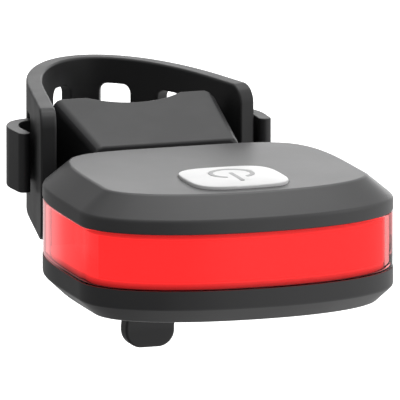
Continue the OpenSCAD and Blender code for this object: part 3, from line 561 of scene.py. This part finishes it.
def by_button(point):
    """Whether a point is on the upper edge of the button's hole."""
    return (cover_high < point.z and button_low.x < point.x < button_high.x
            and button_low.y < point.y < button_high.y)


def on_cover(point):
    """Whether a point of the cover is above its sharp lower rim and off the button's hole."""
    return point.z > cover_low + COVER_SHARP_RIM and not by_button(point)


def below_lens(point):
    return point.z < lens_low


def below_panel(point):
    return point.z < cover_high


def on_shoulders(point):
    """Whether a point is on the slanting upper side edges of the bracket's block."""
    return (SHOULDER_FROM < abs(point.x) < HOOKS_FROM and point.z > BAY_TOP
            and point.y < SHOULDER_BACK)


def on_hooks(point):
    return abs(point.x) > HOOKS_FROM


def on_block(point):
    """Whether a point of the bracket is on its block, off the channel and the lever's bay."""
    outside = abs(point.x) > CHANNEL_HALF or point.z > BAY_TOP or point.y > channel_back
    return abs(point.x) < HOOKS_FROM and outside


def on_tab(point):
    return point.z < TAB_TOP


# Pieces

dressed("top_cover", (COVER_EDGE, on_cover), (HOLE_EDGE, by_button))
dressed("base_housing", (HOUSING_EDGE, below_lens))
dressed("power_button", (BUTTON_EDGE, below_panel), wider=(cover_high, BUTTON_SWELL))
power_mark()
dressed("bracket", (SHOULDER_EDGE, on_shoulders), (HOOK_EDGE, on_hooks), (BLOCK_EDGE, on_block),
        finish="bracket_black")
dressed("release_lever", (LEVER_EDGE, on_tab), finish="bracket_black")
for node, edge in EVEN_EDGES.items():
    dressed(node, (edge, everywhere))
strap_band()
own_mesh(dressed("lever_spring"))

stood_for = {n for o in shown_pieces() for n in o.get("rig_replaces", [])}
for node, obj in nodes.items():
    if node not in stood_for:
        obj.data.materials.clear()
        obj.data.materials.append(MATERIALS[slots[node]])


# Floor, light and camera

def floor():
    """Pale floor, well below the part, that fades into the background."""
    z = cad_box[0].z - FLOOR_DROP
    mesh = bpy.data.meshes.new("floor")
    mesh.from_pydata([(x * FLOOR_HALF, y * FLOOR_HALF, z) for x, y in ((-1, -1), (1, -1), (1, 1), (-1, 1))],
                     [], [(0, 1, 2, 3)])
    obj = placed("floor", mesh)
    obj.data.materials.append(glowing("floor_pale", (0.82, 0.82, 0.82), WHITE[:3], strength=0.7,
                                      roughness=0.8))
    obj.visible_diffuse = obj.visible_glossy = obj.visible_transmission = False


def softbox(name, place, width, height, radiance):
    """Area light at a place in metres that faces the part and looks evenly bright."""
    light = bpy.data.lights.new(name, "AREA")
    light.shape = "RECTANGLE"
    light.size, light.size_y = width, height
    light.energy = radiance * math.pi * width * height
    obj = placed(name, light)
    obj.location = place
    obj.rotation_euler = (VIEW_TARGET - Vector(place)).to_track_quat("-Z", "Y").to_euler()


def background(tree):
    """White background shader."""
    node = tree.nodes.new("ShaderNodeBackground")
    node.inputs["Color"].default_value = WHITE
    return node


def studio():
    """White surround for the camera; for the light it is dim on the left, and a little dim below."""
    world = bpy.data.worlds.new("studio")
    bpy.context.scene.world = world
    world.use_nodes = True
    tree = world.node_tree
    tree.nodes.clear()
    ray = coordinates(tree, "Generated")
    lit = math_node(tree, "MAXIMUM", spread(tree, ray["X"], *DIM_LEFT),
                    spread(tree, ray["Z"], *BRIGHT_OVERHEAD))
    strength = math_node(tree, "MULTIPLY", spread(tree, ray["Z"], *DIM_BELOW), lit)
    surround, backdrop = background(tree), background(tree)
    tree.links.new(strength, surround.inputs["Strength"])
    seen = tree.nodes.new("ShaderNodeLightPath")
    mix = tree.nodes.new("ShaderNodeMixShader")
    out = tree.nodes.new("ShaderNodeOutputWorld")
    tree.links.new(seen.outputs["Is Camera Ray"], mix.inputs["Fac"])
    tree.links.new(surround.outputs["Background"], mix.inputs[1])
    tree.links.new(backdrop.outputs["Background"], mix.inputs[2])
    tree.links.new(mix.outputs["Shader"], out.inputs["Surface"])
    for name, settings in SOFTBOXES.items():
        softbox(name, *settings)


def camera():
    """Camera at the photograph's view."""
    turn, lift = math.radians(VIEW_TURN), math.radians(VIEW_LIFT)
    back = Vector((math.sin(turn) * math.cos(lift), -math.cos(turn) * math.cos(lift), math.sin(lift)))
    data = bpy.data.cameras.new("camera")
    data.sensor_width = SENSOR
    data.lens = LENS
    data.clip_start, data.clip_end = CLIP_NEAR, CLIP_FAR
    obj = placed("camera", data)
    obj.location = VIEW_TARGET + back * (VIEW_WIDTH * LENS / SENSOR)
    obj.rotation_mode = "QUATERNION"
    obj.rotation_quaternion = (-back).to_track_quat("-Z", "Y")
    bpy.context.scene.camera = obj


floor()
studio()
camera()
bpy.context.scene.view_settings.view_transform = "Standard"
